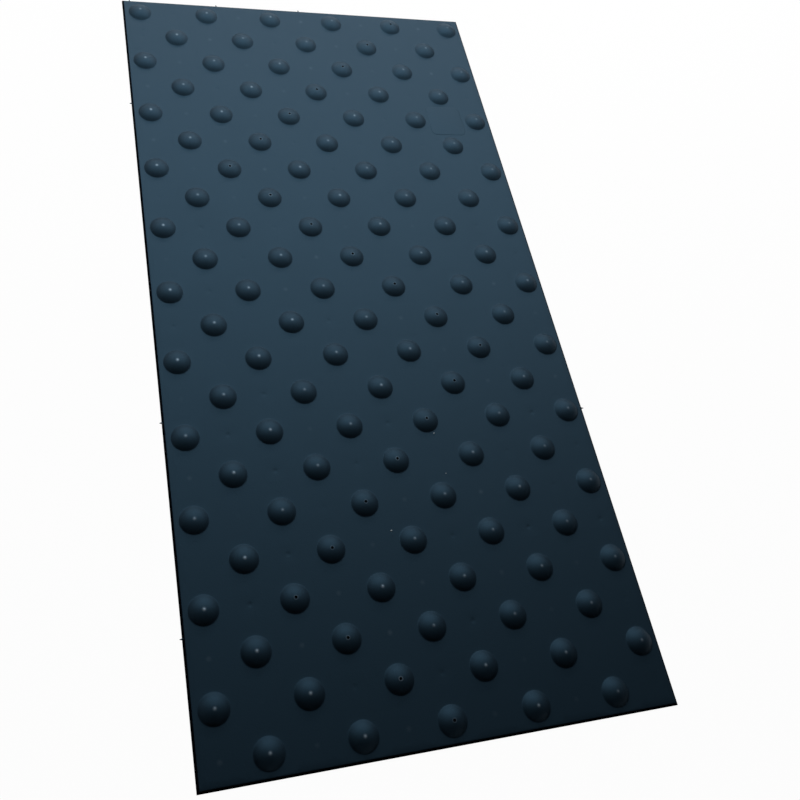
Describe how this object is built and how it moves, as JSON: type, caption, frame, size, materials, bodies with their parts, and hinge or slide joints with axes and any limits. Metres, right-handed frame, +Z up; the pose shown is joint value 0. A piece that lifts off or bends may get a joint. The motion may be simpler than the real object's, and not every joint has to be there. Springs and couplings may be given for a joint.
{
  "type": "tactile paving slab",
  "caption": "Thin dark moulded sheet with a staggered field of low round domes, laid flat before a kerb, stair or platform edge to warn people underfoot.",
  "frame": {"origin": "middle of the flat underside", "axes": "+X across the slab, +Y along its length towards the end with the full row of domes, +Z up through the domes"},
  "size_m": [0.4124, 0.825, 0.008],
  "materials": {
    "slab_rubber": "satin blue-black moulded surface with a fine grain"
  },
  "bodies": {
    "root": {"tactile_slab": "slab_rubber"}
  },
  "joints": []
}
